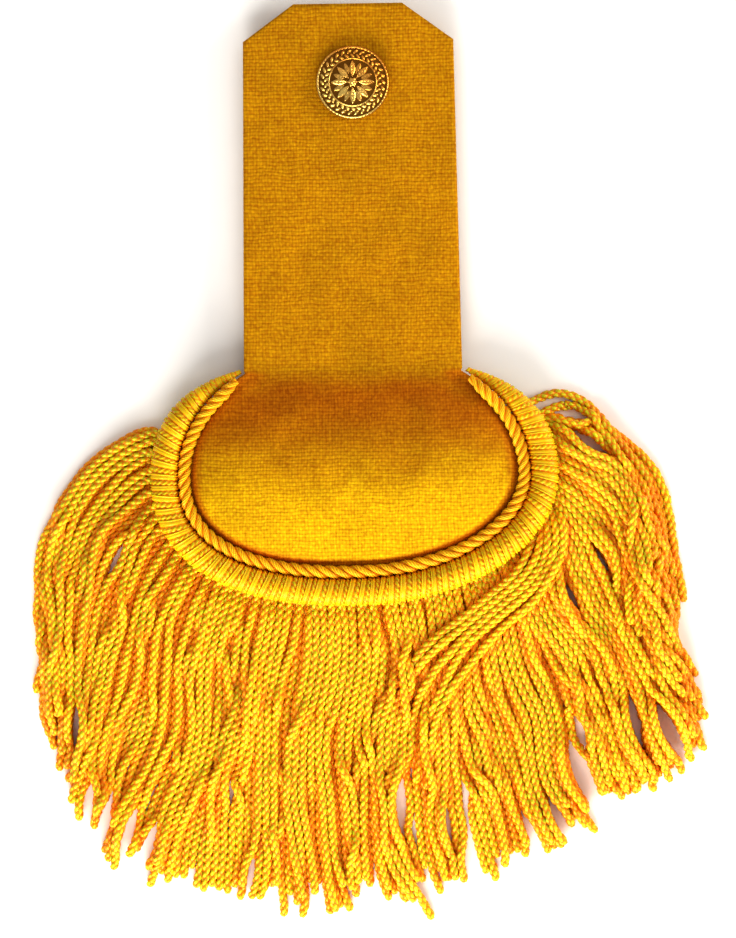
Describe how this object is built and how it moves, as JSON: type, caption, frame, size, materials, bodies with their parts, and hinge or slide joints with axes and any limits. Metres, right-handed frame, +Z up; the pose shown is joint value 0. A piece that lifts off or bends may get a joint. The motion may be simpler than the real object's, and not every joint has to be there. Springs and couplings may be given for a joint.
{
  "type": "fringed epaulette",
  "caption": "Cloth-covered shoulder strap with cut corners, button and post, running into a padded crescent edged with twisted cord and a wound roll, with a long cord fringe.",
  "frame": {"origin": "centre of the part's outline on the surface that it lies on, face up", "axes": "+Y runs along the strap to its neck end, -Y to the fringe's tips, +Z is up out of the face, +X is the right side seen from above"},
  "size_m": [0.192, 0.2596, 0.0144],
  "materials": {
    "cloth": "plain woven amber cloth with a slight sheen",
    "cord": "glossy twisted rayon cord",
    "roll": "satin gimp and twisted thread wound side by side",
    "fringe": "glossy twisted rayon cord, three plies of two yarns",
    "button": "struck brass, lightly polished on the raised parts"
  },
  "bodies": {
    "root": {"strap": "cloth", "edge_cord": "cord", "wound_roll": "roll", "fringe": "fringe", "button": "button"}
  },
  "joints": []
}
